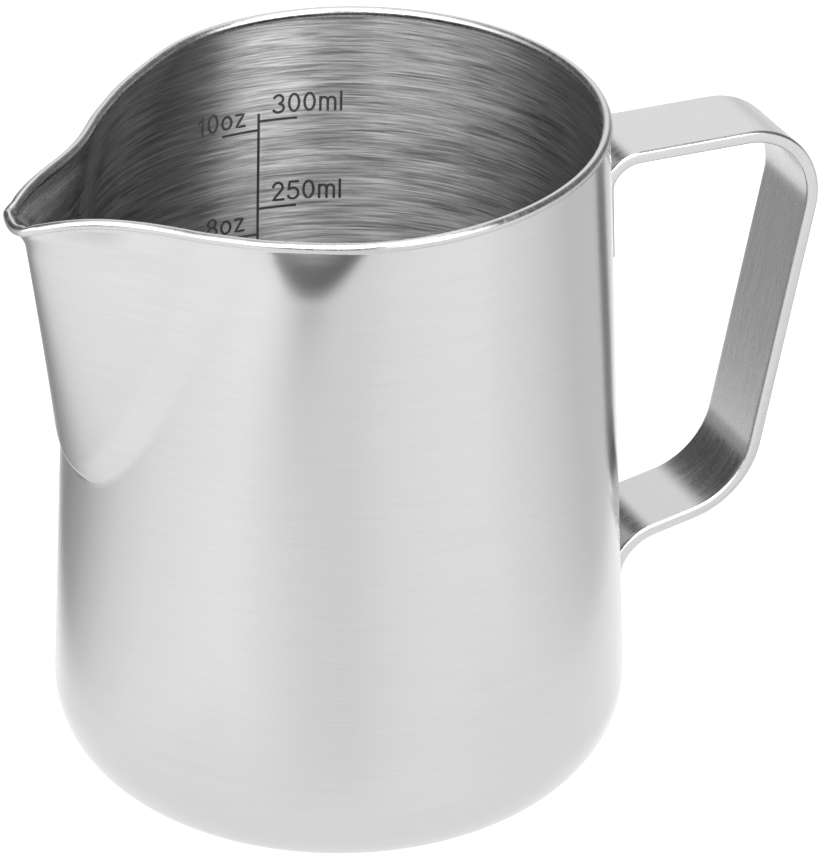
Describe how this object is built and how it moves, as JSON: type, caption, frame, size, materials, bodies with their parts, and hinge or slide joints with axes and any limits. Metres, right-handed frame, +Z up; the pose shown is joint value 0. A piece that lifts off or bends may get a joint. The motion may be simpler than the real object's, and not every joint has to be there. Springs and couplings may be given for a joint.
{
  "type": "milk frothing pitcher",
  "caption": "Small steel milk frothing pitcher: a tapered cup with a rounded base, a pressed pouring spout, a rounded rim and a bent strap handle spot-welded to its back.",
  "frame": {"origin": "centre of the cup's base, on the plane that it stands on", "axes": "+Z up along the cup's axis, +X from the axis towards the handle, so the spout points along -X"},
  "size_m": [0.1113, 0.0756, 0.0915],
  "materials": {
    "brushed_cup": "satin outside, brushed round the inside, polished rim",
    "satin_strap": "satin along the strap with polished edges",
    "weld_metal": "fused weld metal, slightly heat tinted"
  },
  "bodies": {
    "root": {"cup_body": "brushed_cup", "handle_strap": "satin_strap", "upper_spot_welds": "weld_metal", "lower_spot_welds": "weld_metal"}
  },
  "joints": []
}
